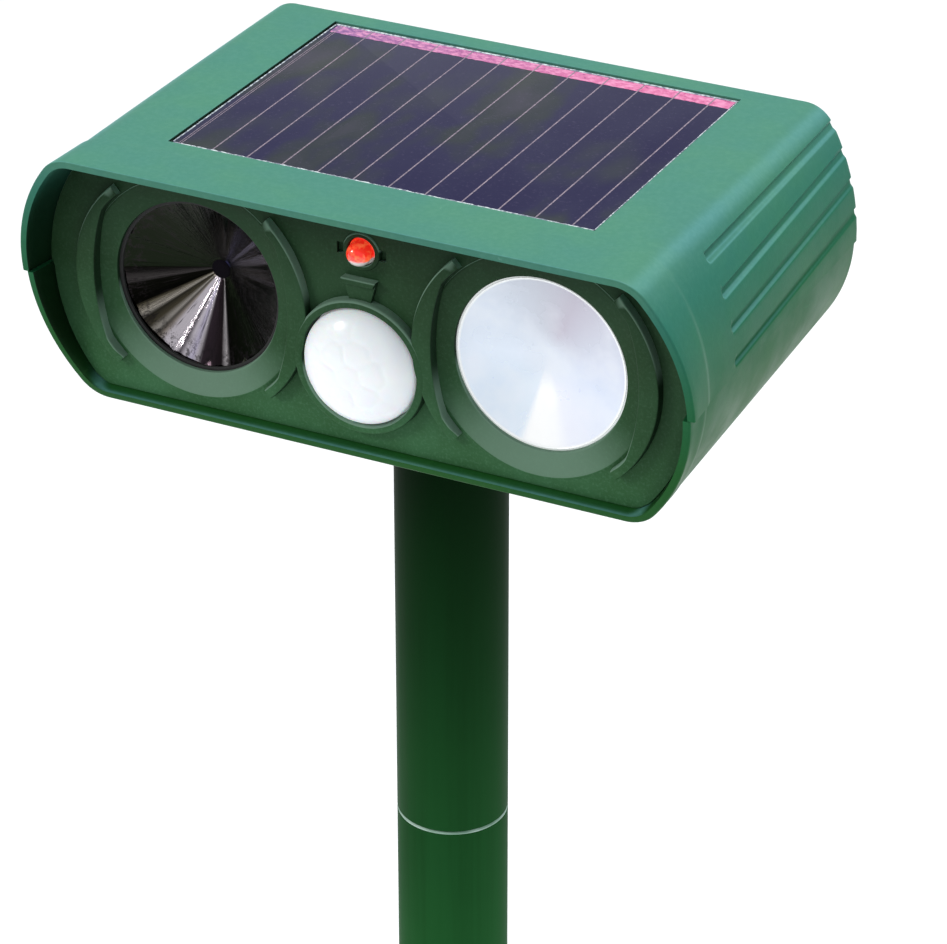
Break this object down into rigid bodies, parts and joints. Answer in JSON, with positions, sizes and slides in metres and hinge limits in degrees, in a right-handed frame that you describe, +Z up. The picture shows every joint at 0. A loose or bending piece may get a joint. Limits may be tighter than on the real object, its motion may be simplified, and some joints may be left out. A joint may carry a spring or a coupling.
{
  "type": "ultrasonic pest repeller",
  "caption": "Solar ultrasonic pest repeller: a wide visored head with speaker, flash lamp and motion sensor on a plug-together pole with a ground spike.",
  "frame": {"origin": "on the pole's axis at ground level, the underside of the spike's collar", "axes": "+Z up along the pole, the head faces -Y, +X to the right of a viewer facing the head"},
  "size_m": [0.148, 0.0999, 0.4011],
  "materials": {
    "green_shell": "satin moulded ABS, fine texture",
    "green_panel": "matte moulded ABS, fine grain",
    "green_pole": "satin extruded plastic tube",
    "solar_cells": "dark thin-film cells under clear resin",
    "mirror_film": "metallised film, creased",
    "pearl_lens": "frosted pearl",
    "milky_dome": "translucent milky polyethylene",
    "red_led": "clear red",
    "black_plastic": "moulded, fine texture",
    "black_rubber": "matt",
    "steel": "zinc plated",
    "brass": "rolled",
    "circuit_board": "solder resist",
    "cell_wrap": "shrink wrap",
    "white_plastic": "ceramic white"
  },
  "bodies": {
    "spike": {"ground_spike": "green_pole"},
    "lower_tube": {"lower_tube": "green_pole"},
    "upper_tube": {"upper_tube": "green_pole"},
    "head": {"top_shell": "green_shell", "bottom_shell": "green_shell", "front_panel": "green_panel", "rear_panel": "green_panel", "solar_panel": "solar_cells", "case_screw_left": "steel", "case_screw_right": "steel", "rear_screw_upper_left": "steel", "rear_screw_lower_left": "steel", "rear_screw_upper_right": "steel", "rear_screw_lower_right": "steel", "speaker_seal": "black_rubber", "speaker_cone": "mirror_film", "speaker_frame": "black_plastic", "piezo_element": "brass", "flash_lens": "pearl_lens", "flash_reflector": "mirror_film", "flash_led": "white_plastic", "pir_dome": "milky_dome", "pir_sensor": "steel", "status_led": "red_led", "sensor_board": "circuit_board", "driver_chip": "black_plastic", "control_board": "circuit_board", "frequency_potentiometer": "steel", "sensitivity_potentiometer": "steel", "power_switch_body": "steel", "charge_jack": "black_plastic", "battery_1": "cell_wrap", "battery_2": "cell_wrap", "battery_3": "cell_wrap", "battery_contacts_front": "steel", "battery_contacts_rear": "steel", "battery_door_pin": "steel"},
    "frequency_knob": {"frequency_knob": "black_plastic"},
    "sensitivity_knob": {"sensitivity_knob": "black_plastic"},
    "power_switch": {"power_switch_slider": "black_plastic"},
    "charge_plug": {"charge_port_plug": "black_rubber"},
    "battery_door": {"battery_door": "green_shell"}
  },
  "joints": [
    {"name": "lower_tube_pull", "type": "slide", "parent": "spike", "child": "lower_tube", "axis": [0, 0, 1], "range_m": [0, 0.022]},
    {"name": "upper_tube_pull", "type": "slide", "parent": "lower_tube", "child": "upper_tube", "axis": [0, 0, 1], "range_m": [0, 0.022]},
    {"name": "head_swivel", "type": "hinge", "parent": "upper_tube", "child": "head", "pos_m": [0, 0, 0.24], "axis": [0, 0, 1], "continuous": true},
    {"name": "frequency_knob_turn", "type": "hinge", "parent": "head", "child": "frequency_knob", "pos_m": [-0.034, 0.045, 0.262], "axis": [0, 1, 0], "range_deg": [-140, 140]},
    {"name": "sensitivity_knob_turn", "type": "hinge", "parent": "head", "child": "sensitivity_knob", "pos_m": [0.034, 0.045, 0.262], "axis": [0, 1, 0], "range_deg": [-140, 140]},
    {"name": "power_switch_slide", "type": "slide", "parent": "head", "child": "power_switch", "axis": [1, 0, 0], "range_m": [0, 0.004]},
    {"name": "charge_plug_fold", "type": "hinge", "parent": "head", "child": "charge_plug", "pos_m": [0, 0.0434, 0.237], "axis": [-1, 0, 0], "range_deg": [0, 110]},
    {"name": "battery_door_hinge", "type": "hinge", "parent": "head", "child": "battery_door", "pos_m": [-0.037, -0.0139, 0.22465], "axis": [-1, 0, 0], "range_deg": [0, 100]}
  ]
}
